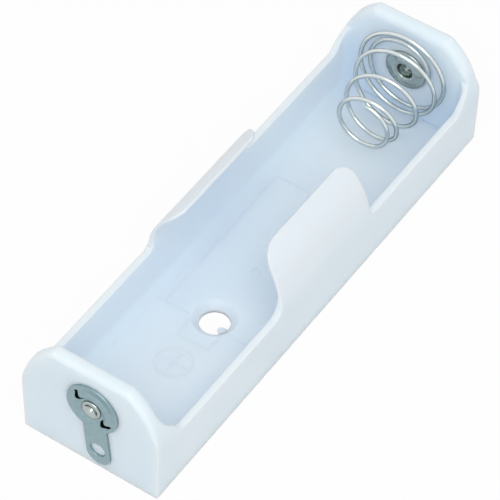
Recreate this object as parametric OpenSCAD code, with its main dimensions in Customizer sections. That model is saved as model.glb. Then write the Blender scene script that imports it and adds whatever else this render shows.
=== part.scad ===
// Single cylindrical cell holder: a one-piece moulded cradle with an arched
// wall at each end, two curved side lobes that retain the cell, riveted solder
// tags at both ends and a conical contact spring at the negative end.
// +X runs from the positive end to the negative end, +Z is up, and the origin
// is the middle of the underside.

/* [Cradle] */
// Overall length over the two end walls
body_l = 62.2; // [40:0.1:90]
// Widest width, at the level where the arch starts
body_w = 17.2; // [12:0.1:40]
// Width across the underside, less than body_w by the mould draft
foot_w = 16.9; // [12:0.1:40]
// Height of the end walls
body_h = 14.5; // [10:0.1:40]
// Height at which the straight sides turn into the arch
arch_z = 7.3; // [4:0.1:20]
// Thickness of the side walls
side_t = 0.8; // [0.5:0.05:3]
// Thickness of each end wall
end_t = 1.9; // [1:0.1:5]
// Thickness of the floor
floor_t = 1.2; // [0.6:0.1:4]
// Height of the low side walls beside the lobes
rail_z = 7.5; // [4:0.1:20]
// Inside radius between the floor and the side walls
floor_r = 1.4; // [0.4:0.1:4]
// Inside radius in plan where a side wall meets an end wall
corner_r = 1.0; // [0.3:0.1:4]
// Length over which the low wall's top edge rises to the end wall
rise_l = 2.9; // [1.5:0.1:6]
// Slope of that rise, in degrees
rise_a = 48; // [30:1:65]
// Radius at the foot of that rise
rise_r = 1.0; // [0.3:0.1:3]

/* [Lobes] */
// Length of each lobe at its foot
lobe_l = 17.3; // [8:0.1:40]
// Thickness of the lobes above the straight walls
lobe_t = 0.36; // [0.2:0.02:2]
// Gap between the tips of the two lobes, measured outside
lobe_gap = 9.8; // [4:0.1:20]
// Lean of the lobe's rounder side, in degrees
lobe_lean = 10; // [0:1:25]
// Radius of the upper corner at the upright side
lobe_r = 2.1; // [0.3:0.1:4]
// Radius of the upper corner at the leaning side
lobe_lean_r = 3.2; // [0.3:0.1:5]
// Radius at the foot of the upright side
lobe_foot_r = 1.0; // [0.3:0.1:3]
// Radius at the foot of the leaning side
lobe_lean_foot_r = 1.5; // [0.3:0.1:3]

/* [Screw hole] */
// Distance of the hole from the middle, towards the positive end
hole_x = 8.35; // [0:0.05:20]
// Diameter of the through hole
hole_d = 3.5; // [2:0.1:6]
// Diameter of the countersink at the floor
sink_d = 5.4; // [3:0.1:9]
// Depth of the countersink
sink_h = 0.75; // [0.2:0.05:3]

/* [Floor marks] */
// Height of the raised marks
mark_h = 0.12; // [0.05:0.05:0.5]
// Line width of the raised marks
mark_w = 0.28; // [0.1:0.02:1]
// Left end, right end and half width of the cell outline
outline = [-9.6, 12.5, 5.85];
// Left end and half width of the outline's terminal
outline_tip = [-12.6, 2.0];
// Centre of the plus mark
plus_x = -16.0; // [-28:0.1:28]
// Outside diameter of the ring around the plus mark
plus_d = 4.3; // [2:0.1:8]
// Arm length of the plus mark, end to end
plus_l = 2.6; // [1:0.1:6]

/* [Contacts] */
// Height of the positive rivet
plus_z = 9.5; // [5:0.05:14]
// Sideways place of the positive rivet
plus_y = -0.5; // [-3:0.05:3]
// Lean of the positive tag about its rivet, in degrees
plus_lean = 5.5; // [-20:0.5:20]
// Height of the negative rivet
minus_z = 7.9; // [5:0.05:14]
// Sideways place of the negative rivet
minus_y = -0.1; // [-3:0.05:3]
// Diameter of the rivet's flange inside the cradle
flange_d = 5.2; // [3:0.1:8]
// Thickness of the rivet's flange
flange_t = 0.35; // [0.1:0.05:1]
// Outside diameter of the rivet's tube
shank_d = 2.2; // [1:0.05:4]
// Bore of the rivet's tube
shank_bore = 1.7; // [0.5:0.05:3.5]
// Diameter of the hole in the end wall for the rivet
rivet_hole_d = 2.3; // [1:0.05:5]
// Depth of the round recess in the end wall's outer face, round the rivet
recess_h = 0.6; // [0:0.05:1]
// Thickness of the tag's sheet
tag_t = 0.25; // [0.1:0.05:1]
// Diameter of the tag's disc
tag_d = 6.4; // [4:0.1:12]
// Width of the tag's arm
arm_w = 3.0; // [1:0.1:6]
// Height of the end of the arm over the underside
arm_end_z = 1.0; // [0:0.05:5]
// Diameter of the wire hole in the arm
wire_d = 1.9; // [0.5:0.05:3]
// Diameter of the raised bead round the rivet, along its outer foot
bead_d = 5.2; // [3.5:0.1:8]
// Height of that bead over the disc
bead_h = 0.35; // [0:0.05:1]

/* [Spring] */
// Diameter of the spring wire
wire_spring_d = 0.5; // [0.2:0.02:1.2]
// Outside diameter of the spring's widest turn
spring_d = 11.5; // [7:0.1:16]
// Outside diameter of the spring's free end
spring_tip_d = 6.22; // [4:0.02:12]
// Free length of the spring, from the end wall to the last turn
spring_l = 9.72; // [5:0.02:16]
// Gap between the first turn and the end wall
spring_gap = 0.07; // [0.02:0.01:0.5]
// Height of the spring's axis over the rivet
spring_up = 0.55; // [0:0.05:2]
// Sideways lean of the free end, per mm of length
spring_lean_y = -0.08; // [-0.3:0.01:0.3]
// Downward lean of the free end, per mm of length
spring_lean_z = -0.07; // [-0.3:0.01:0.3]

/* [Hidden] */

eps = 0.02;
arch_r = body_w / 2;
bay_r = arch_r - side_t;
end_x = body_l / 2;
bay_x = end_x - end_t;
lobe_x = lobe_l / 2;
// the tips are cut on a plane through the arch's axis
lobe_a = asin(lobe_gap / 2 / arch_r);
// the upper corners are cut square to the arch, a little below the tips
corner_a = lobe_a + 10;
tip_y = arch_r * sin(corner_a - lobe_a);
tip_z = arch_z + arch_r * cos(lobe_a);
above = body_h + 6;
bead_r = bead_d / 2;
// the bead's inner foot, under the rivet's rolled tail
bead_in_r = shank_d / 2 + 0.05;

natural = [0.84, 0.90, 0.94];
nickel = [0.62, 0.67, 0.68];
bright = [0.78, 0.81, 0.82];

// spring path, one value each quarter turn from the wall to the free end: how far
// it has widened, then how far it has narrowed, and how far it has come out
grow = [0, 0.286, 0.592, 0.837, 0.959, 1];
shrink = [1, 0.947, 0.879, 0.811, 0.754, 0.678, 0.606, 0.538, 0.470, 0.402, 0.261, 0.250, 0.174,
          0.223, 0.083, 0.030, 0];
advance = [0, 0.0085, 0.0213, 0.0404, 0.0617, 0.0830, 0.1096, 0.1521, 0.2160, 0.2904, 0.3649,
           0.4447, 0.5351, 0.6309, 0.7213, 0.7904, 0.8809, 0.9500, 0.9926, 0.9979, 1, 1];
wide_r = (spring_d - wire_spring_d) / 2;
end_r = (spring_tip_d - wire_spring_d) / 2;
// the first turn lies just outside the rivet's flange
foot_r = flange_d / 2 + wire_spring_d / 2 + 0.2;
first_s = wire_spring_d / 2 + spring_gap;
turns = len(grow) - 1;
spring_r = [for (i = [0 : len(advance) - 1])
    i <= turns ? foot_r + (wide_r - foot_r) * grow[i] : end_r + (wide_r - end_r) * shrink[i - turns]];
spring_s = [for (a = advance) first_s + (spring_l - first_s) * a];
ring_n = 8;
per_knot = 9;

module along_x(len) { rotate([90, 0, 90]) linear_extrude(len, center = true) children(); }

// outside of the cradle, seen along X
module outside_2d() {
    intersection() {
        translate([0, arch_z]) circle(r = arch_r, $fn = 160);
        translate([-body_w, arch_z]) square([2 * body_w, body_h - arch_z]);
    }
    polygon([[-foot_w / 2, 0], [foot_w / 2, 0], [arch_r, arch_z], [-arch_r, arch_z]]);
}

// the bay that the cell lies in, seen along X
module bay_2d() {
    // the arch is thinner than the straight walls
    intersection() {
        translate([0, arch_z]) circle(r = arch_r - lobe_t, $fn = 160);
        translate([-bay_r, arch_z]) square([2 * bay_r, above]);
    }
    c = [bay_r - floor_r, floor_t + floor_r];
    translate([-bay_r, c[1]]) square([2 * bay_r, arch_z - c[1]]);
    translate([-c[0], floor_t]) square([2 * c[0], floor_r]);
    for (s = [-1, 1]) translate([s * c[0], c[1]]) circle(r = floor_r, $fn = 48);
}

// the bay's outline in plan, with a radius in each corner
module bay_plan_2d() {
    half = bay_r + 1;
    difference() {
        square([2 * bay_x, 2 * half], center = true);
        for (sx = [-1, 1], sy = [-1, 1]) scale([sx, sy]) difference() {
            translate([bay_x - corner_r, bay_r - corner_r]) square([corner_r + 1, half]);
            translate([bay_x - corner_r, bay_r - corner_r]) circle(r = corner_r, $fn = 40);
        }
    }
}

// fillet at a wall's foot, at the origin: it reaches out to +x and the wall leans
// back from there
module foot_2d(r, lean) {
    c = [r * (1 - sin(lean)) / cos(lean), r];
    t = c - r * [cos(lean), sin(lean)];
    difference() {
        polygon([[-2, -1], [c[0], -1], c, t, [-2, t[1]]]);
        translate(c) circle(r = r, $fn = 64);
    }
}

// the near lobe seen along Y, from the low wall's top upwards; it leans at -x
module lobe_2d() {
    lean = (above - rail_z) * tan(lobe_lean);
    polygon([[-lobe_x, rail_z], [-lobe_x, rail_z - 1], [lobe_x, rail_z - 1], [lobe_x, above],
             [-lobe_x + lean, above]]);
    translate([lobe_x, rail_z]) foot_2d(lobe_foot_r, 0);
    translate([-lobe_x, rail_z]) scale([-1, 1]) foot_2d(lobe_lean_foot_r, lobe_lean);
}

// what rounds a corner whose side leans out below it: the corner is at the origin,
// with the side going down at +x and the tip going off to -x
module corner_2d(r, lean) {
    c = [-r * (1 - sin(lean)) / cos(lean), -r];
    difference() {
        polygon([c, c + (r + 3) * [cos(lean), sin(lean)], c + [r + 3, r + 4], c + [0, r + 4]]);
        translate(c) circle(r = r, $fn = 64);
    }
}

// the same, square to the near lobe's arch
module lobe_corner(x, r, lean) {
    translate([0, 0, arch_z]) rotate([corner_a, 0, 0]) translate([x, tip_y, arch_r - lobe_t - 1])
        linear_extrude(lobe_t + 3) scale([x > 0 ? 1 : -1, 1]) corner_2d(r, lean);
}

// what is cut away above the near low wall, seen along Y
module window_2d() {
    foot_x = bay_x - rise_l;
    // where the rise starts, and how high it is at the end wall
    start = [foot_x + rise_r * sin(rise_a), rail_z + rise_r * (1 - cos(rise_a))];
    top = start[1] + (bay_x - start[0]) * tan(rise_a);
    difference() {
        union() {
            polygon([[-foot_x, rail_z], [foot_x, rail_z], [foot_x, rail_z + rise_r], start,
                     [bay_x, top], [bay_x, above], [-bay_x, above], [-bay_x, top],
                     [-start[0], start[1]], [-foot_x, rail_z + rise_r]]);
            for (s = [-1, 1]) translate([s * foot_x, rail_z + rise_r]) circle(r = rise_r, $fn = 64);
        }
        lobe_2d();
    }
}

module bar(x0, y0, x1, y1) {
    translate([min(x0, x1) - mark_w / 2, min(y0, y1) - mark_w / 2, floor_t - 0.2])
        cube([abs(x1 - x0) + mark_w, abs(y1 - y0) + mark_w, mark_h + 0.2]);
}

// the cell's outline and a ringed plus, raised on the floor
module floor_marks() {
    h = outline[2];
    t = outline_tip[1];
    bar(outline[0], -h, outline[1], -h);
    bar(outline[0], h, outline[1], h);
    bar(outline[0], -h, outline[0], h);
    bar(outline[1], -h, outline[1], h);
    bar(outline_tip[0], -t, outline_tip[0], t);
    bar(outline_tip[0], -t, outline[0], -t);
    bar(outline_tip[0], t, outline[0], t);
    bar(plus_x - plus_l / 2, 0, plus_x + plus_l / 2, 0);
    bar(plus_x, -plus_l / 2, plus_x, plus_l / 2);
    translate([plus_x, 0, floor_t - 0.2]) difference() {
        cylinder(d = plus_d, h = mark_h + 0.2, $fn = 64);
        translate([0, 0, -1]) cylinder(d = plus_d - 2 * mark_w, h = mark_h + 3, $fn = 64);
    }
    // moulding gate
    translate([-0.5, 0, floor_t - 0.2]) cylinder(d = 1.0, h = mark_h + 0.2, $fn = 32);
}

// hole for a rivet from 1 mm outside the end wall, with its recess
module rivet_hole() {
    cylinder(d = rivet_hole_d, h = end_t + 1.5, $fn = 48);
    cylinder(r = bead_r - 0.25, h = 1 + recess_h, $fn = 64);
}

module housing() {
    color(natural) difference() {
        union() {
            difference() {
                along_x(body_l) outside_2d();
                intersection() {
                    along_x(2 * bay_x) bay_2d();
                    linear_extrude(above) bay_plan_2d();
                }
                // the far side is the near side turned about
                for (turn = [0, 180]) rotate(turn) {
                    rotate([90, 0, 0]) translate([0, 0, -1]) linear_extrude(body_w) window_2d();
                    lobe_corner(lobe_x, lobe_r, 0);
                    lobe_corner(-lobe_x + (tip_z - rail_z) * tan(lobe_lean), lobe_lean_r,
                                0.7 * lobe_lean);
                }
                // opening between the lobes, cut on planes through the arch's axis
                along_x(2 * (lobe_x + 1)) polygon([[0, arch_z], [above * tan(lobe_a), arch_z + above],
                                                   [-above * tan(lobe_a), arch_z + above]]);
            }
            floor_marks();
        }
        translate([-hole_x, 0, -1]) cylinder(d = hole_d, h = floor_t + 3, $fn = 64);
        translate([-hole_x, 0, floor_t - sink_h])
            cylinder(d1 = hole_d, d2 = sink_d + (sink_d - hole_d) / sink_h, h = sink_h + 1, $fn = 64);
        translate([-end_x - 1, plus_y, plus_z]) rotate([0, 90, 0]) rivet_hole();
        translate([end_x + 1, minus_y, minus_z]) rotate([0, -90, 0]) rivet_hole();
    }
}

// half of the bead's outline, from its inner to its outer foot, at height z
function bead(z, h) = [for (i = [0 : 10])
    let (f = i / 10, k = max(0, (f - 0.22) / 0.78)) [bead_in_r + f * (bead_r - bead_in_r),
                                                    z + h * pow(sin(180 * k), 1.5)]];

// Solder tag: z = 0 is its back and the arm points to -y, arm_l long
module tag(arm_l) {
    color(nickel) difference() {
        union() {
            difference() {
                linear_extrude(tag_t) union() {
                    circle(d = tag_d, $fn = 96);
                    translate([-arm_w / 2, -arm_l + arm_w / 2]) square([arm_w, arm_l - arm_w / 2]);
                    translate([0, -arm_l + arm_w / 2]) circle(d = arm_w, $fn = 64);
                }
                translate([0, 0, -1]) cylinder(r = bead_r - eps, h = 3, $fn = 72);
            }
            // the raised bead is hollow behind
            back = bead(0, 0.9 * bead_h);
            rotate_extrude($fn = 72) polygon(concat(bead(tag_t, bead_h),
                [for (i = [len(back) - 1 : -1 : 0]) back[i]]));
        }
        translate([0, -arm_l + arm_w / 2 + 0.65, -1]) cylinder(d = wire_d, h = 3, $fn = 48);
        // two slots lanced through the bead, in line
        rotate(138) for (s = [-1, 1]) translate([s * (bead_r - 0.48) - 0.62, -0.42, -1])
            cube([1.24, 0.4, 3]);
    }
}

// Hollow rivet: z = 0 is the wall's outer face, the flange is at -end_t and the
// tail is rolled over on the tag inside its bead
module rivet() {
    r = shank_d / 2;
    b = shank_bore / 2;
    top = tag_t;
    color(bright) rotate_extrude($fn = 72) polygon([
        [b, -end_t - flange_t + 0.25], [b + 0.12, -end_t - flange_t + 0.05],
        [b + 0.35, -end_t - flange_t - 0.12], [b + 0.65, -end_t - flange_t - 0.12],
        [flange_d / 2 - 0.45, -end_t - flange_t + 0.03], [flange_d / 2 - 0.1, -end_t - flange_t + 0.14],
        [flange_d / 2, -end_t - 0.12], [flange_d / 2, -end_t], [r, -end_t], [r, top],
        [r + 0.14, top], [r + 0.18, top + 0.1], [r + 0.1, top + 0.2], [r - 0.04, top + 0.23],
        [b + 0.06, top + 0.17], [b, top + 0.05]]);
}

module positive_tag() {
    translate([-end_x, plus_y, plus_z]) rotate([90, 0, -90]) rotate(plus_lean) tag(plus_z - arm_end_z);
}

module positive_rivet() {
    translate([-end_x, plus_y, plus_z]) rotate([90, 0, -90]) rivet();
}

module negative_tag() {
    translate([end_x, minus_y, minus_z]) rotate([90, 0, 90]) tag(minus_z - arm_end_z);
}

module negative_rivet() {
    translate([end_x, minus_y, minus_z]) rotate([90, 0, 90]) rivet();
}

function pick(v, i) = v[max(0, min(len(v) - 1, i))];

// smooth value between knots
function smooth(v, u) =
    let (i = min(floor(u), len(v) - 2), f = u - i,
         a = pick(v, i - 1), b = pick(v, i), c = pick(v, i + 1), d = pick(v, i + 2))
    b + 0.5 * f * (c - a + f * (2 * a - 5 * b + 4 * c - d + f * (3 * (b - c) + d - a)));

// point on the spring's centre line, u in quarter turns from the wall
function spring_p(u) =
    let (r = smooth(spring_r, u), s = smooth(spring_s, u), a = 180 - 90 * u)
    [bay_x - s, minus_y + spring_lean_y * s + r * cos(a),
     minus_z + spring_up + spring_lean_z * s + r * sin(a)];

function unit(v) = v / norm(v);

// ring of points round the centre line at u
function spring_ring(u) =
    let (p = spring_p(u), t = unit(spring_p(u + 0.05) - spring_p(u - 0.05)),
         n = unit(cross([1, 0, 0], t)), b = cross(t, n), q = wire_spring_d / 2)
    [for (k = [0 : ring_n - 1]) p + q * cos(360 * k / ring_n) * n + q * sin(360 * k / ring_n) * b];

module contact_spring() {
    last = (len(spring_r) - 1) * per_knot;
    rings = [for (i = [0 : last]) each spring_ring(i / per_knot)];
    side = [for (i = [0 : last - 1], k = [0 : ring_n - 1])
        let (j = (k + 1) % ring_n, a = i * ring_n, b = a + ring_n)
        each [[a + k, b + j, a + j], [a + k, b + k, b + j]]];
    color(bright) polyhedron(points = rings,
        faces = concat([[for (k = [0 : ring_n - 1]) k]], side,
                       [[for (k = [ring_n - 1 : -1 : 0]) last * ring_n + k]]), convexity = 8);
}

housing();
positive_tag();
positive_rivet();
negative_tag();
negative_rivet();
contact_spring();
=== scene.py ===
"""Dresses the single cylindrical cell holder: a one-piece moulded cradle, two
riveted solder tags and a conical contact spring, on a plain pale floor.

Lengths written with MM are millimetres turned to the frame's metres.
"""

import logging
import math
from dataclasses import dataclass
from enum import Enum
from typing import Any, Callable, Sequence

import bmesh
import bpy
from mathutils import Matrix, Vector


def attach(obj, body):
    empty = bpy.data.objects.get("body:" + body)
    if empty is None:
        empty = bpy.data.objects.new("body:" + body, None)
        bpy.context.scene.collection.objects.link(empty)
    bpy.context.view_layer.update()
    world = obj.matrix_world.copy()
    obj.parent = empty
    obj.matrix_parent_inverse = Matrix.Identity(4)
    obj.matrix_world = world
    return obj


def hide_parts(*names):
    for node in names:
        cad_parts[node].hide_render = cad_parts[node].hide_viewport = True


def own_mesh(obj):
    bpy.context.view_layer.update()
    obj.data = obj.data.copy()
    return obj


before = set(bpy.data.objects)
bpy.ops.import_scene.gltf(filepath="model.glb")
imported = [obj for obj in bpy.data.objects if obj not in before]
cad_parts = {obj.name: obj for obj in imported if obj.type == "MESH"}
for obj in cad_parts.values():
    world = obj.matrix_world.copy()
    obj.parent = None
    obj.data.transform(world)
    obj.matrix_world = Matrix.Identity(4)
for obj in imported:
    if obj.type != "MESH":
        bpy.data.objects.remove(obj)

LOG = logging.getLogger("cell_holder")
MM = 0.001
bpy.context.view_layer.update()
# outer and inner face of the end walls, in millimetres
END_X, BAY_X = 31.1, 29.2
# round each rivet's axis, the reach in millimetres of what is left unrounded
RIVET_REACH = 2.8
# how near two points are to be one, on a CAD copy and at a new piece's seam
WELD, SEAM = 0.002 * MM, 0.001 * MM
# faces that differ by less than this many degrees are one face
FLAT_ANGLE = 0.3
# a fold: its least angle in degrees, how far the crisp edges reach round it, how
# near a fold of the plain shape counts as that one, and how often to try again
FOLD_ANGLE, FOLD_REACH, OWN_REACH, FOLD_TRIES = 100, 0.4, 0.25, 8
# keeps a division by an edge of no length in bounds
TINY = 1e-9


class Slot(Enum):
    """Material slots of the record; no piece in this script is given one."""

    PLASTIC = "natural_plastic"
    SHEET = "nickel_sheet"
    BRIGHT = "nickel_bright"
    WIRE = "spring_wire"


class End(Enum):
    """The two ends of the cradle; the value is the direction along X."""

    POSITIVE = -1
    NEGATIVE = 1


# sideways place and height of each rivet, in millimetres
RIVET_AT = {End.POSITIVE: (-0.5, 9.5), End.NEGATIVE: (-0.1, 7.9)}


def linear(code: str) -> tuple[float, float, float, float]:
    """Turns an sRGB hex colour into linear light.

    Args:
        code: Six hex digits, with or without a leading hash.

    Returns:
        The colour as linear red, green and blue with an alpha of one.
    """
    digits = code.lstrip("#")
    shares = [int(digits[i : i + 2], 16) / 255 for i in (0, 2, 4)]
    red, green, blue = (
        s / 12.92 if s <= 0.04045 else ((s + 0.055) / 1.055) ** 2.4 for s in shares
    )
    return (red, green, blue, 1.0)


def add_node(
    tree: bpy.types.NodeTree,
    kind: str,
    inputs: dict[str | int, Any] | None = None,
    links: dict[str | int, bpy.types.NodeSocket] | None = None,
    **settings: Any,
) -> bpy.types.Node:
    """Adds one node with its settings, values and incoming links.

    Args:
        tree: The node tree that takes the node.
        kind: The node's type name.
        inputs: Values for sockets, by name or number.
        links: Sockets to link into the node's sockets, by name or number.
        **settings: Properties of the node itself.

    Returns:
        The new node.
    """
    node = tree.nodes.new(kind)
    for name, value in settings.items():
        setattr(node, name, value)
    for socket, value in (inputs or {}).items():
        node.inputs[socket].default_value = value
    for socket, source in (links or {}).items():
        tree.links.new(source, node.inputs[socket])
    return node


def new_material(name: str) -> tuple[bpy.types.Material, bpy.types.NodeTree]:
    """Makes an empty node material.

    Args:
        name: The material's name.

    Returns:
        The material and its cleared node tree.
    """
    material = bpy.data.materials.new(name)
    material.use_nodes = True
    material.node_tree.nodes.clear()
    return material, material.node_tree


@dataclass(frozen=True)
class MouldedPolypropylene:
    """Natural polypropylene, injection moulded and left unpainted.

    It gives the eye a milky, slightly blue body that light sinks into, pale
    edges, and a satin skin with the faint waviness of the mould. The waviness
    is drawn coarser than a real mould leaves it, so that it shows. Edges look
    rounded by a tenth of a millimetre even where the mesh is crisp.
    """

    body: str = "E7F2FE"
    shade: str = "DEEAFB"
    ior: float = 1.49
    specular: float = 0.32
    roughness: float = 0.38
    gloss_spread: tuple[float, float] = (-0.05, 0.08)
    depth: float = 1.3 * MM
    depth_by_colour: tuple[float, float, float] = (1.0, 1.0, 1.05)
    cloud: float = 9 * MM
    waviness: float = 1.4 * MM
    wave_height: float = 0.03 * MM
    wave_strength: float = 0.12
    edge: float = 0.1 * MM

    def build(self) -> bpy.types.Material:
        """Returns the plastic as a node material."""
        material, tree = new_material("moulded_polypropylene")
        place = add_node(tree, "ShaderNodeTexCoord")
        cloud = add_node(
            tree,
            "ShaderNodeTexNoise",
            {"Scale": 1 / self.cloud, "Detail": 3.0, "Roughness": 0.5},
            {"Vector": place.outputs["Object"]},
        )
        tint = add_node(
            tree,
            "ShaderNodeMix",
            {6: linear(self.body), 7: linear(self.shade)},
            {"Factor": cloud.outputs["Fac"]},
            data_type="RGBA",
        )
        ripple = add_node(
            tree,
            "ShaderNodeTexNoise",
            {"Scale": 1 / self.waviness, "Detail": 4.0, "Roughness": 0.6},
            {"Vector": place.outputs["Object"]},
        )
        gloss = add_node(
            tree,
            "ShaderNodeMapRange",
            {
                "To Min": self.roughness + self.gloss_spread[0],
                "To Max": self.roughness + self.gloss_spread[1],
            },
            {"Value": ripple.outputs["Fac"]},
        )
        worn = add_node(tree, "ShaderNodeBevel", {"Radius": self.edge}, samples=6)
        relief = add_node(
            tree,
            "ShaderNodeBump",
            {"Strength": self.wave_strength, "Distance": self.wave_height},
            {"Height": ripple.outputs["Fac"], "Normal": worn.outputs["Normal"]},
        )
        shader = add_node(
            tree,
            "ShaderNodeBsdfPrincipled",
            {
                "IOR": self.ior,
                "Specular IOR Level": self.specular,
                "Subsurface Weight": 1.0,
                "Subsurface Radius": self.depth_by_colour,
                "Subsurface Scale": self.depth,
            },
            {
                "Base Color": tint.outputs[2],
                "Roughness": gloss.outputs["Result"],
                "Normal": relief.outputs["Normal"],
            },
        )
        add_node(
            tree, "ShaderNodeOutputMaterial", links={"Surface": shader.outputs["BSDF"]}
        )
        return material


@dataclass(frozen=True)
class NickelSteel:
    """Nickel-plated steel, rolled as sheet, spun as tube or drawn as wire.

    Nickel gives the eye a grey metal; rolling leaves it matt with faint clouds,
    while a spun or drawn surface stays bright. A nearly black copy is painted shade
    for the hollow under a tag's bead. The clouds are drawn coarser than real ones,
    so that they show. A lower edge weakens what the surface reflects at a glancing
    angle.
    """

    name: str
    colour: str
    dull: str
    roughness: float
    streak: float
    edge: float = 1.0
    gloss_spread: tuple[float, float] = (-0.06, 0.1)

    def build(self) -> bpy.types.Material:
        """Returns the plated steel as a node material."""
        material, tree = new_material(self.name)
        place = add_node(tree, "ShaderNodeTexCoord")
        grain = add_node(
            tree,
            "ShaderNodeTexNoise",
            {"Scale": 1 / self.streak, "Detail": 5.0, "Roughness": 0.62},
            {"Vector": place.outputs["Object"]},
        )
        tint = add_node(
            tree,
            "ShaderNodeMix",
            {6: linear(self.colour), 7: linear(self.dull)},
            {"Factor": grain.outputs["Fac"]},
            data_type="RGBA",
        )
        gloss = add_node(
            tree,
            "ShaderNodeMapRange",
            {
                "To Min": self.roughness + self.gloss_spread[0],
                "To Max": self.roughness + self.gloss_spread[1],
            },
            {"Value": grain.outputs["Fac"]},
        )
        shader = add_node(
            tree,
            "ShaderNodeBsdfPrincipled",
            {
                "Metallic": 1.0,
                "Specular Tint": (self.edge, self.edge, self.edge, 1.0),
            },
            {"Base Color": tint.outputs[2], "Roughness": gloss.outputs["Result"]},
        )
        add_node(
            tree, "ShaderNodeOutputMaterial", links={"Surface": shader.outputs["BSDF"]}
        )
        return material


# matt and blue-grey
ROLLED_SHEET = NickelSteel(
    name="nickel_sheet_rolled",
    colour="9EB8BD",
    dull="889FA6",
    roughness=0.34,
    streak=0.5 * MM,
)
# brighter, with soft highlights
SPUN_TUBE = NickelSteel(
    name="nickel_rivet_spun",
    colour="C2CBC8",
    dull="A5AFAD",
    roughness=0.18,
    streak=0.4 * MM,
    edge=0.4,
)
# the brightest, with narrow highlights along the wire
DRAWN_WIRE = NickelSteel(
    name="nickel_wire_drawn",
    colour="E6EBEA",
    dull="D0D7D6",
    roughness=0.10,
    streak=0.3 * MM,
    edge=0.12,
)
# painted shade: nearly black, for the hollow under each tag's bead
BEAD_HOLLOW_SHADE = NickelSteel(
    name="bead_hollow_painted_shade",
    colour="17191A",
    dull="0D0E0F",
    roughness=0.6,
    streak=0.3 * MM,
    edge=0.3,
)


def dress(piece: bpy.types.Object, material: bpy.types.Material) -> None:
    """Puts one material all over a piece.

    Args:
        piece: The object to dress.
        material: The finish for it.
    """
    piece.data.materials.clear()
    piece.data.materials.append(material)


def take(piece: bpy.types.Object) -> None:
    """Selects one object alone and makes it the active one.

    Args:
        piece: The object that the next operators act on.
    """
    bpy.ops.object.select_all(action="DESELECT")
    piece.select_set(True)
    bpy.context.view_layer.objects.active = piece


def finish_modifier(piece: bpy.types.Object, kind: str, **settings: Any) -> None:
    """Adds one modifier to a piece and applies it.

    Args:
        piece: The object that takes the modifier.
        kind: The modifier's type name.
        **settings: Properties of the modifier.
    """
    modifier = piece.modifiers.new(kind.lower(), kind)
    for name, value in settings.items():
        setattr(modifier, name, value)
    take(piece)
    bpy.ops.object.modifier_apply(modifier=modifier.name)


def smooth_shade(piece: bpy.types.Object, angle: float) -> None:
    """Shades a piece smooth, with its flat faces kept flat.

    Args:
        piece: The object to shade.
        angle: Edges sharper than this many degrees stay crisp.
    """
    take(piece)
    bpy.ops.object.shade_smooth_by_angle(angle=math.radians(angle))
    finish_modifier(piece, "WEIGHTED_NORMAL", keep_sharp=True, weight=100)


def merged_copy(node: str, name: str) -> bpy.types.Object:
    """Copies a CAD solid and joins its loose triangles into clean faces.

    Args:
        node: The CAD node to copy.
        name: The new piece's name.

    Returns:
        The new piece, in the same place as the node.
    """
    piece = bpy.data.objects.new(name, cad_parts[node].data.copy())
    bpy.context.scene.collection.objects.link(piece)
    take(piece)
    bpy.ops.object.mode_set(mode="EDIT")
    bpy.ops.mesh.select_all(action="SELECT")
    bpy.ops.mesh.remove_doubles(threshold=WELD)
    bpy.ops.mesh.customdata_custom_splitnormals_clear()
    bpy.ops.mesh.dissolve_limited(angle_limit=math.radians(FLAT_ANGLE))
    bpy.ops.object.mode_set(mode="OBJECT")
    return piece


def folds(shape: bpy.types.Mesh) -> list[Vector]:
    """Finds where a mesh folds back on itself.

    Args:
        shape: The mesh to look at.

    Returns:
        The middles of the folded edges, in millimetres.
    """
    mesh = bmesh.new()
    mesh.from_mesh(shape)
    limit = math.radians(FOLD_ANGLE)
    spots = [
        (edge.verts[0].co + edge.verts[1].co) / 2 / MM
        for edge in mesh.edges
        if edge.is_manifold and edge.calc_face_angle() > limit
    ]
    mesh.free()
    return spots


def away_from(edge: bmesh.types.BMEdge, spots: list[Vector], reach: float) -> bool:
    """Tells whether an edge keeps clear of some spots.

    Args:
        edge: The edge.
        spots: The spots, in millimetres.
        reach: How near one may come, in millimetres.

    Returns:
        Whether none of the spots lies within reach of it.
    """
    start, run = edge.verts[0].co / MM, (edge.verts[1].co - edge.verts[0].co) / MM
    for spot in spots:
        share = (spot - start).dot(run) / max(run.length_squared, TINY)
        share = min(1.0, max(0.0, share))
        if (start + run * share - spot).length < reach:
            return False
    return True


def round_edges(
    piece: bpy.types.Object,
    radius_at: Callable[[Vector, bool], float],
    widest: float,
    sharper_than: float = 30.0,
    segments: int = 3,
) -> None:
    """Rounds the sharp edges of a piece, each with a radius that suits its place.

    Where a rounding would fold over its neighbours, those edges stay crisp.

    Args:
        piece: The object to round.
        radius_at: Gives the radius for an edge from its middle, in millimetres,
            and whether it sticks out; the radius is in millimetres too.
        widest: The largest radius that it gives, in millimetres.
        sharper_than: Edges with a smaller angle, in degrees, are left.
        segments: The number of faces across each rounding.
    """
    plain = piece.data.copy()
    own, crisp = folds(plain), []
    for _ in range(FOLD_TRIES):
        mesh = bmesh.new()
        mesh.from_mesh(plain)
        weight = mesh.edges.layers.float.new("bevel_weight_edge")
        for edge in mesh.edges:
            if math.degrees(edge.calc_face_angle(0.0)) < sharper_than:
                continue
            middle = (edge.verts[0].co + edge.verts[1].co) / 2 / MM
            if away_from(edge, crisp, FOLD_REACH):
                edge[weight] = radius_at(middle, edge.is_convex) / widest
        piece.data = plain.copy()
        mesh.to_mesh(piece.data)
        mesh.free()
        finish_modifier(
            piece,
            "BEVEL",
            limit_method="WEIGHT",
            width=widest * MM,
            segments=segments,
            use_clamp_overlap=False,
            loop_slide=False,
        )
        found = [
            spot
            for spot in folds(piece.data)
            if all((spot - other).length > OWN_REACH for other in own)
        ]
        if not found:
            break
        crisp += found
    LOG.info("%s: edges left crisp near %d spots", piece.name, len(crisp))


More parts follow.
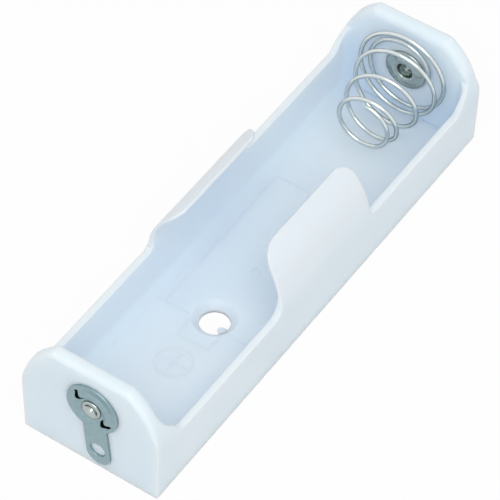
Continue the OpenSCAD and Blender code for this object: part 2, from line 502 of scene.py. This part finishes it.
def on_end_wall(piece: bpy.types.Object, end: End, place: tuple[float, float]) -> None:
    """Moves a piece from its bench to an end wall.

    On the bench +Z points out of the wall.

    Args:
        piece: The object, with its middle at the origin and its back at z = 0.
        end: The end wall that it goes on.
        place: Its sideways place and height there, in millimetres.
    """
    quarter = Matrix.Rotation(math.radians(90), 4, "X")
    turn = Matrix.Rotation(math.radians(90 * end.value), 4, "Z") @ quarter
    move = Matrix.Translation(Vector((end.value * END_X, place[0], place[1])) * MM)
    piece.data.transform(move @ turn)


@dataclass
class Cradle:
    """The one-piece moulding: end walls, low side walls, lobes and floor.

    The mould leaves its edges softly rounded, the tops of the end walls most.
    The floor's marks lie within mark_half and stand up to mark_h above it. All
    lengths are millimetres.
    """

    outer_round: float = 0.30
    brow_round: float = 0.55
    brow_foot: float = 9.0
    top_round: float = 0.90
    top_foot: float = 10.6
    edge_round: float = 0.15
    lobe_round: float = 0.08
    lobe_half: float = 11.0
    lobe_foot: float = 7.6
    wall_from: float = 29.0
    on_face: float = 0.02
    floor_z: float = 1.2
    floor_edges_below: float = 1.6
    mark_half: tuple[float, float] = (20.0, 6.3)
    mark_h: float = 0.15
    mark_share: float = 0.45

    def on_floor(self, x: float, y: float) -> bool:
        """Tells whether a place in plan lies where the floor has its marks."""
        return abs(x) < self.mark_half[0] and abs(y) < self.mark_half[1]

    def radius_at(self, middle: Vector, convex: bool) -> float:
        """Gives the rounding of one of the moulding's edges.

        Args:
            middle: The middle of the edge, in millimetres.
            convex: Whether the edge sticks out.

        Returns:
            Its radius in millimetres.
        """
        out = abs(middle.x)
        if middle.z < self.floor_edges_below and self.on_floor(middle.x, middle.y):
            return 0.0
        if middle.z > self.lobe_foot and out < self.lobe_half:
            return self.lobe_round if convex else 0.0
        for y, z in RIVET_AT.values():
            away = math.hypot(middle.y - y, middle.z - z)
            if out > self.wall_from and away < RIVET_REACH:
                return 0.0
        if not convex:
            return 0.0
        if abs(out - BAY_X) < self.on_face and middle.z > self.top_foot:
            return self.top_round
        if abs(out - END_X) < self.on_face:
            return self.brow_round if middle.z > self.brow_foot else self.outer_round
        return self.edge_round

    def soften_marks(self, piece: bpy.types.Object) -> None:
        """Lowers the raised signs on the floor to the faint relief of a worn mould.

        Args:
            piece: The moulding.
        """
        for vertex in piece.data.vertices:
            x, y, z = vertex.co / MM
            up = z - self.floor_z
            if self.on_floor(x, y) and self.floor_z < z < self.floor_z + self.mark_h:
                vertex.co.z = (self.floor_z + self.mark_share * up) * MM

    def build(self, plastic: bpy.types.Material) -> bpy.types.Object:
        """Makes the softened moulding and lets it stand for the plain one.

        Args:
            plastic: The finish for it.

        Returns:
            The moulding.
        """
        piece = merged_copy("housing", "moulded_cradle")
        self.soften_marks(piece)
        round_edges(piece, self.radius_at, self.top_round, segments=6)
        smooth_shade(piece, 40)
        dress(piece, plastic)
        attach(piece, "holder")
        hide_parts("housing")
        LOG.info("cradle: %d faces", len(piece.data.polygons))
        return piece


@dataclass
class HoleFlash:
    """The nib of flash that the mould leaves at the edge of the screw hole."""

    place: tuple[float, float, float] = (-8.95, -1.42, 0.42)
    radius: float = 0.5
    flatness: float = 0.5
    tip_pull: float = 1.25

    def build(self, plastic: bpy.types.Material) -> bpy.types.Object:
        """Makes the nib as a flattened drop whose tip points to the hole's middle.

        Args:
            plastic: The finish for it.

        Returns:
            The nib.
        """
        bpy.ops.object.select_all(action="DESELECT")
        bpy.ops.mesh.primitive_uv_sphere_add(
            segments=32,
            ring_count=18,
            radius=self.radius * MM,
            location=tuple(Vector(self.place) * MM),
        )
        piece = bpy.context.object
        piece.name = "hole_flash"
        bpy.ops.object.mode_set(mode="EDIT")
        bpy.ops.transform.resize(
            value=(1.0, self.tip_pull, self.flatness),
            center_override=tuple(piece.location),
        )
        bpy.ops.object.mode_set(mode="OBJECT")
        take(piece)
        bpy.ops.object.transform_apply(location=True, rotation=True, scale=True)
        smooth_shade(piece, 60)
        dress(piece, plastic)
        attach(piece, "holder")
        LOG.info("%s: %d faces", piece.name, len(piece.data.polygons))
        return piece


@dataclass
class SolderTag:
    """A stamped tag: a disc with a raised bead and an arm with a wire hole.

    Two slots are lanced through the bead, and a ring of painted shade under it
    shows in them as two dark wedges. Lengths are millimetres and angles degrees.
    """

    end: End
    edge_round: float = 0.06
    face_up: float = 0.12
    bead_r: tuple[float, float] = (1.2, 2.6)
    bead_h: float = 0.35
    bead_flat: float = 0.22
    bead_rise: float = 0.78
    bead_power: float = 1.5
    tear_angles: tuple[float, float] = (139.5, 323.0)
    tear_from: float = 1.50
    tear_to: float = 2.74
    tear_w: float = 0.74
    tear_back: float = -0.3
    tear_depth: float = 1.5
    shade_r: float = 2.78
    shade_rings: int = 11
    shade_ring_w: float = 0.12
    shade_up: float = 0.18
    shade_share: float = 0.97
    shade_t: float = 0.04

    def radius_at(self, middle: Vector, convex: bool) -> float:
        """Gives the rounding of one of the tag's edges.

        Args:
            middle: The middle of the edge, in millimetres.
            convex: Whether the edge sticks out.

        Returns:
            Its radius in millimetres.
        """
        y, z = RIVET_AT[self.end]
        outside = abs(middle.x) > END_X + self.face_up
        torn = math.hypot(middle.y - y, middle.z - z) < RIVET_REACH
        return self.edge_round if convex and outside and not torn else 0.0

    def tear(self, piece: bpy.types.Object, angle: float) -> None:
        """Opens one lanced slot to a wedge, as the press leaves it.

        Args:
            piece: The tag.
            angle: Where the slot points, in degrees round the rivet.
        """
        bpy.ops.object.select_all(action="DESELECT")
        bpy.ops.mesh.primitive_circle_add(vertices=6, radius=1 * MM, fill_type="NGON")
        cutter = bpy.context.object
        half, near, far = self.tear_w / 2, self.tear_from, self.tear_to
        outline = (
            (near, -0.5 * half),
            (near + 0.4, -half),
            (far - 0.1, -0.9 * half),
            (far, 0.1 * half),
            (far - 0.5, half),
            (near + 0.1, 0.6 * half),
        )
        turn = Matrix.Rotation(math.radians(angle), 3, "Z")
        for vertex, (x, y) in zip(cutter.data.vertices, outline):
            vertex.co = turn @ Vector((x, y, self.tear_back)) * MM
        bpy.ops.object.mode_set(mode="EDIT")
        bpy.ops.mesh.select_all(action="SELECT")
        bpy.ops.mesh.extrude_region_move(
            TRANSFORM_OT_translate={"value": (0, 0, self.tear_depth * MM)}
        )
        bpy.ops.mesh.select_all(action="SELECT")
        bpy.ops.mesh.normals_make_consistent(inside=False)
        bpy.ops.object.mode_set(mode="OBJECT")
        on_end_wall(cutter, self.end, RIVET_AT[self.end])
        finish_modifier(
            piece, "BOOLEAN", operation="DIFFERENCE", solver="EXACT", object=cutter
        )
        bpy.data.objects.remove(cutter)

    def painted_shade_ring(self, dark: bpy.types.Material) -> bpy.types.Object:
        """Makes the ring of painted shade under the bead that the slots show.

        It is a thin dished ring that stays within the sheet's thickness.

        Args:
            dark: The finish for it.

        Returns:
            The ring.
        """
        inner, outer = self.bead_r
        bpy.ops.object.select_all(action="DESELECT")
        bpy.ops.mesh.primitive_circle_add(
            vertices=72, radius=self.shade_r * MM, fill_type="NGON"
        )
        piece = bpy.context.object
        piece.name = f"{self.end.name.lower()}_bead_painted_shade"
        bpy.ops.object.mode_set(mode="EDIT")
        bpy.ops.mesh.select_all(action="SELECT")
        for _ in range(self.shade_rings):
            bpy.ops.mesh.inset(thickness=self.shade_ring_w * MM, depth=0)
        bpy.ops.mesh.delete(type="FACE")
        bpy.ops.object.mode_set(mode="OBJECT")
        for vertex in piece.data.vertices:
            share = (vertex.co.xy.length / MM - inner) / (outer - inner)
            rise = min(1.0, max(0.0, (share - self.bead_flat) / self.bead_rise))
            crest = math.sin(math.pi * rise) ** self.bead_power
            vertex.co.z = (self.shade_up + self.shade_share * self.bead_h * crest) * MM
        finish_modifier(piece, "SOLIDIFY", thickness=self.shade_t * MM, offset=-1.0)
        on_end_wall(piece, self.end, RIVET_AT[self.end])
        smooth_shade(piece, 50)
        # near-black painted shade, for the shadow in the hollow under the bead
        dress(piece, dark)
        return piece

    def build(
        self, sheet: bpy.types.Material, dark: bpy.types.Material
    ) -> bpy.types.Object:
        """Makes the tag with the rolled-over edges of a stamping.

        Args:
            sheet: The finish for it.
            dark: The finish of the painted shade under the bead.

        Returns:
            The tag.
        """
        name = self.end.name.lower()
        piece = merged_copy(f"{name}_tag", f"{name}_solder_tag")
        for angle in self.tear_angles:
            self.tear(piece, angle)
        round_edges(piece, self.radius_at, self.edge_round, sharper_than=50, segments=2)
        smooth_shade(piece, 45)
        dress(piece, sheet)
        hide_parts(f"{name}_tag")
        for part in (piece, self.painted_shade_ring(dark)):
            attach(part, "holder")
            LOG.info("%s: %d faces", part.name, len(part.data.polygons))
        return piece


@dataclass
class TubularRivet:
    """A hollow rivet: a spun flange inside the bay and a rolled tail outside.

    Its bore is blind from both sides. Lengths are millimetres, and heights count
    outwards from the end wall's outer face.
    """

    end: End
    flange_r: float = 2.6
    shank_r: float = 1.1
    wall: float = 1.9
    flange_t: float = 0.35
    mouth_r: float = 1.2
    mouth_round: float = 0.22
    rim_round: float = 0.17
    tail: float = 0.25
    roll_r: float = 0.95
    roll_w: float = 0.25
    roll_h: float = 0.21

    def profile(self) -> list[tuple[float, float]]:
        """Gives the section as radii and heights, once round, in millimetres."""
        inner = -self.wall - self.flange_t
        rad, lip, rim_c = math.radians, self.mouth_round, self.rim_round
        bottom = [(0.05, inner + 0.62), (0.2, inner + 0.64), (0.4, inner + 0.72)]
        bottom += [(0.55, inner + 0.85), (0.72, inner + 1.0)]
        mouth = [(0.9, inner + 1.0), (0.95, inner + 0.5), (0.98, inner + 0.3)]
        mouth += [
            (
                self.mouth_r - lip * math.cos(rad(a)),
                inner + 0.10 - lip * math.sin(rad(a)),
            )
            for a in (20, 40, 60, 80)
        ]
        dish = [(1.5, inner - 0.11), (1.75, inner - 0.07), (2.05, inner)]
        dish += [(2.3, inner + 0.05)]
        rim = [
            (
                self.flange_r - rim_c + rim_c * math.sin(rad(a)),
                inner + 0.24 - rim_c * math.cos(rad(a)),
            )
            for a in (10, 40, 70, 90)
        ]
        back = [(self.flange_r, -self.wall), (self.shank_r, -self.wall)]
        back += [(self.shank_r, self.tail)]
        roll = [
            (
                self.roll_r + self.roll_w * math.cos(rad(a)),
                self.tail + 0.03 + self.roll_h * math.sin(rad(a)),
            )
            for a in (0, 22, 45, 67, 90, 112)
        ]
        funnel = [(0.74, 0.36), (0.60, 0.22), (0.47, 0.05), (0.36, -0.15)]
        funnel += [(0.30, -0.4), (0.05, -0.8)]
        return bottom + mouth + dish + rim + back + roll + funnel

    def build(self, plated: bpy.types.Material) -> bpy.types.Object:
        """Spins the rivet's section round its axis.

        Args:
            plated: The finish for it.

        Returns:
            The rivet.
        """
        name = self.end.name.lower()
        section = self.profile()
        bpy.ops.object.select_all(action="DESELECT")
        bpy.ops.mesh.primitive_circle_add(vertices=len(section), radius=1 * MM)
        piece = bpy.context.object
        piece.name = f"{name}_tubular_rivet"
        for vertex, (radius, height) in zip(piece.data.vertices, section):
            vertex.co = (radius * MM, 0, height * MM)
        bpy.ops.object.mode_set(mode="EDIT")
        bpy.ops.mesh.select_all(action="SELECT")
        bpy.ops.mesh.spin(
            steps=72,
            angle=math.tau,
            center=(0, 0, 0),
            axis=(0, 0, 1),
            use_normal_flip=False,
        )
        bpy.ops.mesh.select_all(action="SELECT")
        bpy.ops.mesh.remove_doubles(threshold=SEAM)
        bpy.ops.mesh.normals_make_consistent(inside=False)
        bpy.ops.object.mode_set(mode="OBJECT")
        on_end_wall(piece, self.end, RIVET_AT[self.end])
        smooth_shade(piece, 50)
        dress(piece, plated)
        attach(piece, "holder")
        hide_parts(f"{name}_rivet")
        LOG.info("%s rivet: %d faces", name, len(piece.data.polygons))
        return piece


@dataclass
class ContactSpring:
    """The conical spring, wound from round wire from the end wall outwards.

    Each list gives one value for each quarter turn: how far the wire has
    widened, how far it still is from its tip's width, and how far it has come
    out. Lengths are millimetres.
    """

    wire_d: float = 0.5
    wide_d: float = 11.5
    tip_d: float = 6.22
    length: float = 9.72
    gap: float = 0.07
    flange_r: float = 2.6
    flange_gap: float = 0.2
    lean_y: float = -0.08
    lean_z: float = -0.07
    axis_up: float = 0.55
    steps: int = 14
    grow: tuple[float, ...] = (0, 0.286, 0.592, 0.837, 0.959, 1)
    shrink: tuple[float, ...] = (
        (1, 0.947, 0.879, 0.811, 0.754, 0.678, 0.606, 0.538, 0.470, 0.402)
        + (0.261, 0.250, 0.174, 0.223, 0.083, 0.030, 0)
    )
    advance: tuple[float, ...] = (
        (0, 0.0085, 0.0213, 0.0404, 0.0617, 0.0830, 0.1096, 0.1521, 0.2160, 0.2904)
        + (0.3649, 0.4447, 0.5351, 0.6309, 0.7213, 0.7904, 0.8809, 0.9500, 0.9926)
        + (0.9979, 1, 1)
    )

    @staticmethod
    def between(values: Sequence[float], at: float) -> float:
        """Reads a smooth curve through evenly spaced values.

        Args:
            values: The values, one for each quarter turn.
            at: The place along them.

        Returns:
            The curve's value there.
        """
        i = min(int(at), len(values) - 2)
        f = at - i
        last = len(values) - 1
        a, b, c, d = (values[max(0, min(last, i + k))] for k in (-1, 0, 1, 2))
        bend = 2 * a - 5 * b + 4 * c - d + f * (3 * (b - c) + d - a)
        return b + 0.5 * f * (c - a + f * bend)

    def route(self) -> list[Vector]:
        """Gives the points of the wire's centre line, in metres."""
        wide, tip = (self.wide_d - self.wire_d) / 2, (self.tip_d - self.wire_d) / 2
        foot = self.flange_r + self.wire_d / 2 + self.flange_gap
        first = self.wire_d / 2 + self.gap
        radii = [foot + (wide - foot) * g for g in self.grow]
        radii += [tip + (wide - tip) * g for g in self.shrink[1:]]
        reach = [first + (self.length - first) * a for a in self.advance]
        y, z = RIVET_AT[End.NEGATIVE]
        points = []
        for i in range((len(radii) - 1) * self.steps + 1):
            at = i / self.steps
            r, out = self.between(radii, at), self.between(reach, at)
            turn = math.radians(180 - 90 * at)
            across = y + self.lean_y * out + r * math.cos(turn)
            up = z + self.axis_up + self.lean_z * out + r * math.sin(turn)
            points.append(Vector((BAY_X - out, across, up)) * MM)
        return points

    def build(self, wire: bpy.types.Material) -> bpy.types.Object:
        """Winds the wire and lets it stand for the plain spring.

        Args:
            wire: The finish for it.

        Returns:
            The spring.
        """
        bpy.ops.object.select_all(action="DESELECT")
        bpy.ops.curve.primitive_nurbs_path_add()
        piece = bpy.context.object
        piece.name = "wound_spring"
        curve = piece.data
        points = self.route()
        curve.splines.clear()
        spline = curve.splines.new("POLY")
        spline.points.add(len(points) - 1)
        for point, place in zip(spline.points, points):
            point.co = (*place, 1.0)
        curve.bevel_depth = self.wire_d / 2 * MM
        curve.bevel_resolution = 6
        curve.use_fill_caps = True
        bpy.ops.object.convert(target="MESH")
        bpy.ops.object.mode_set(mode="EDIT")
        bpy.ops.mesh.select_all(action="SELECT")
        bpy.ops.mesh.remove_doubles(threshold=SEAM)
        bpy.ops.mesh.normals_make_consistent(inside=False)
        bpy.ops.object.mode_set(mode="OBJECT")
        bpy.ops.object.shade_smooth_by_angle(angle=math.radians(50))
        dress(piece, wire)
        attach(piece, "holder")
        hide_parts("contact_spring")
        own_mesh(piece)
        LOG.info("spring: %d faces", len(piece.data.polygons))
        return piece


@dataclass
class Viewpoint:
    """The camera, given by its angles round the holder and its distance."""

    azimuth: float = -56.97
    elevation: float = 49.11
    roll: float = 1.59
    distance: float = 367.64 * MM
    aside: float = -0.89 * MM
    above: float = 2.90 * MM
    lens: float = 242.24
    sensor: float = 36.0
    sees_from: float = 0.01
    sees_to: float = 10.0

    def build(self) -> bpy.types.Object:
        """Returns the scene's camera."""
        a, e, r = (math.radians(v) for v in (self.azimuth, self.elevation, self.roll))
        flat = math.cos(e)
        back = Vector((math.sin(a) * flat, -math.cos(a) * flat, math.sin(e)))
        right = (-back).cross(Vector((0, 0, 1))).normalized()
        up = right.cross(-back)
        across = math.cos(r) * right + math.sin(r) * up
        upward = -math.sin(r) * right + math.cos(r) * up
        data = bpy.data.cameras.new("view")
        data.lens = self.lens
        data.sensor_width = self.sensor
        data.clip_start, data.clip_end = self.sees_from, self.sees_to
        camera = bpy.data.objects.new("view", data)
        bpy.context.scene.collection.objects.link(camera)
        place = back * self.distance + across * self.aside + upward * self.above
        turn = Matrix((across, upward, back)).transposed()
        camera.matrix_world = Matrix.Translation(place) @ turn.to_4x4()
        bpy.context.scene.camera = camera
        return camera


@dataclass
class Studio:
    """A pale floor under soft, even light."""

    floor_half: float = 400 * MM
    floor_drop: float = 0.01 * MM
    world_level: float = 0.68
    key_power: float = 1.45
    key_size: float = 0.4
    key_place: tuple[float, float, float] = (-0.27, -0.18, 0.5)
    paper: str = "E6E6E6"
    glow_share: float = 0.95

    @staticmethod
    def seen_directly(tree: bpy.types.NodeTree) -> bpy.types.Node:
        """Adds nodes that give 1 for what the eye, a gloss or a glass looks at.

        Args:
            tree: The node tree that takes them.

        Returns:
            The last of the nodes.
        """
        path = add_node(tree, "ShaderNodeLightPath")
        seen = add_node(
            tree,
            "ShaderNodeMath",
            links={0: path.outputs["Is Camera Ray"], 1: path.outputs["Is Glossy Ray"]},
            operation="MAXIMUM",
        )
        return add_node(
            tree,
            "ShaderNodeMath",
            links={0: seen.outputs[0], 1: path.outputs["Is Transmission Ray"]},
            operation="MAXIMUM",
        )

    def light(self, name: str, place: Vector, size: float, power: float) -> None:
        """Adds a square soft lamp that faces the holder.

        Args:
            name: The lamp's name.
            place: Where the lamp hangs, in metres.
            size: The side of the lamp, in metres.
            power: Its power in watts.
        """
        data = bpy.data.lights.new(name, "AREA")
        data.shape, data.size, data.energy = "SQUARE", size, power
        lamp = bpy.data.objects.new(name, data)
        bpy.context.scene.collection.objects.link(lamp)
        lamp.location = place
        lamp.rotation_mode = "QUATERNION"
        lamp.rotation_quaternion = (-place).to_track_quat("-Z", "Y")

    def build(self) -> None:
        """Makes the floor, the world and the lamp."""
        bpy.ops.object.select_all(action="DESELECT")
        bpy.ops.mesh.primitive_plane_add(
            size=2 * self.floor_half, location=(0, 0, -self.floor_drop)
        )
        floor = bpy.context.object
        floor.name = "studio_floor"
        material, tree = new_material("studio_paper")
        seen = self.seen_directly(tree)
        paper = add_node(tree, "ShaderNodeBsdfDiffuse", {"Color": linear(self.paper)})
        glow = add_node(
            tree, "ShaderNodeEmission", {"Color": (1, 1, 1, 1), "Strength": 1.0}
        )
        share = add_node(
            tree,
            "ShaderNodeMath",
            {1: self.glow_share},
            {0: seen.outputs[0]},
            operation="MULTIPLY",
        )
        both = add_node(
            tree,
            "ShaderNodeMixShader",
            links={
                0: share.outputs[0],
                1: paper.outputs["BSDF"],
                2: glow.outputs["Emission"],
            },
        )
        add_node(
            tree, "ShaderNodeOutputMaterial", links={"Surface": both.outputs["Shader"]}
        )
        dress(floor, material)

        world = bpy.data.worlds.new("studio")
        bpy.context.scene.world = world
        world.use_nodes = True
        tree = world.node_tree
        tree.nodes.clear()
        seen = self.seen_directly(tree)
        level = add_node(
            tree,
            "ShaderNodeMapRange",
            {"To Min": self.world_level, "To Max": 1.0},
            {"Value": seen.outputs[0]},
        )
        sky = add_node(
            tree,
            "ShaderNodeBackground",
            {"Color": (1, 1, 1, 1)},
            {"Strength": level.outputs["Result"]},
        )
        add_node(
            tree, "ShaderNodeOutputWorld", links={"Surface": sky.outputs["Background"]}
        )
        self.light("key", Vector(self.key_place), self.key_size, self.key_power)


def main() -> None:
    """Builds the scene piece by piece."""
    logging.basicConfig(level=logging.INFO, format="%(name)s: %(message)s")
    Viewpoint().build()
    Studio().build()
    plastic = MouldedPolypropylene().build()
    sheet = ROLLED_SHEET.build()
    bright = SPUN_TUBE.build()
    wire = DRAWN_WIRE.build()
    # a near-black finish that paints the shade in the hollow under each bead
    dark = BEAD_HOLLOW_SHADE.build()
    Cradle().build(plastic)
    HoleFlash().build(plastic)
    for end in End:
        SolderTag(end).build(sheet, dark)
        TubularRivet(end).build(bright)
    ContactSpring().build(wire)
    bpy.context.scene.view_settings.view_transform = "Standard"


if __name__ == "__main__":
    main()
